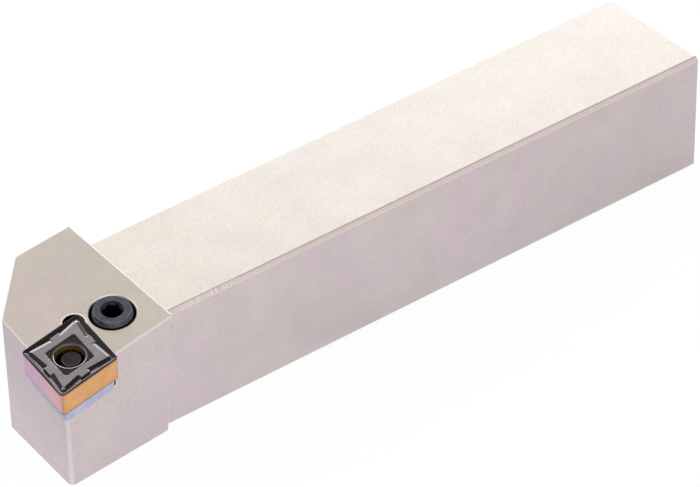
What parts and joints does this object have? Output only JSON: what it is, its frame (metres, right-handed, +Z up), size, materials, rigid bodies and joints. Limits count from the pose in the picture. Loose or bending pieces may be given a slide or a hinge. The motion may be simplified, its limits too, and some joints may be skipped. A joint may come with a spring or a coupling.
{
  "type": "indexable turning tool holder",
  "caption": "Square-shank right-hand turning tool holder whose lever, worked by a socket screw, clamps a rhombic carbide insert on a shim in an open pocket.",
  "frame": {"origin": "centre of the shank's base", "axes": "+X along the shank towards its rear end, away from the cutting tip; +Y away from the side that cuts; +Z up, from the base to the face that shows the insert"},
  "size_m": [0.15, 0.032, 0.0305],
  "materials": {
    "holder": "satin nickel-plated steel, fine blasted grain",
    "insert": "ground coated carbide, grey faces and gold flanks",
    "shim": "ground carbide, bluish grey",
    "pin": "spring steel, dark",
    "lever": "black oxide steel",
    "screw": "black oxide steel"
  },
  "bodies": {
    "holder": {"holder_body": "holder", "cutting_insert": "insert", "shim": "shim", "shim_pin": "pin"},
    "lever": {"clamp_lever": "lever"},
    "screw": {"lever_screw": "screw"}
  },
  "joints": [
    {"name": "screw_travel", "type": "slide", "parent": "holder", "child": "screw", "axis": [-0.104, -0.104, 0.9891], "range_m": [0, 0.00044]},
    {"name": "lever_tilt", "type": "hinge", "parent": "holder", "child": "lever", "pos_m": [-0.07907, -0.01119, 0.01345], "axis": [0.2994, -0.9517, -0.0686], "range_deg": [0, 2.75]}
  ],
  "couplings": [
    {"joint": "lever_tilt", "follows": "screw_travel", "rad_per_m": 108.7}
  ]
}
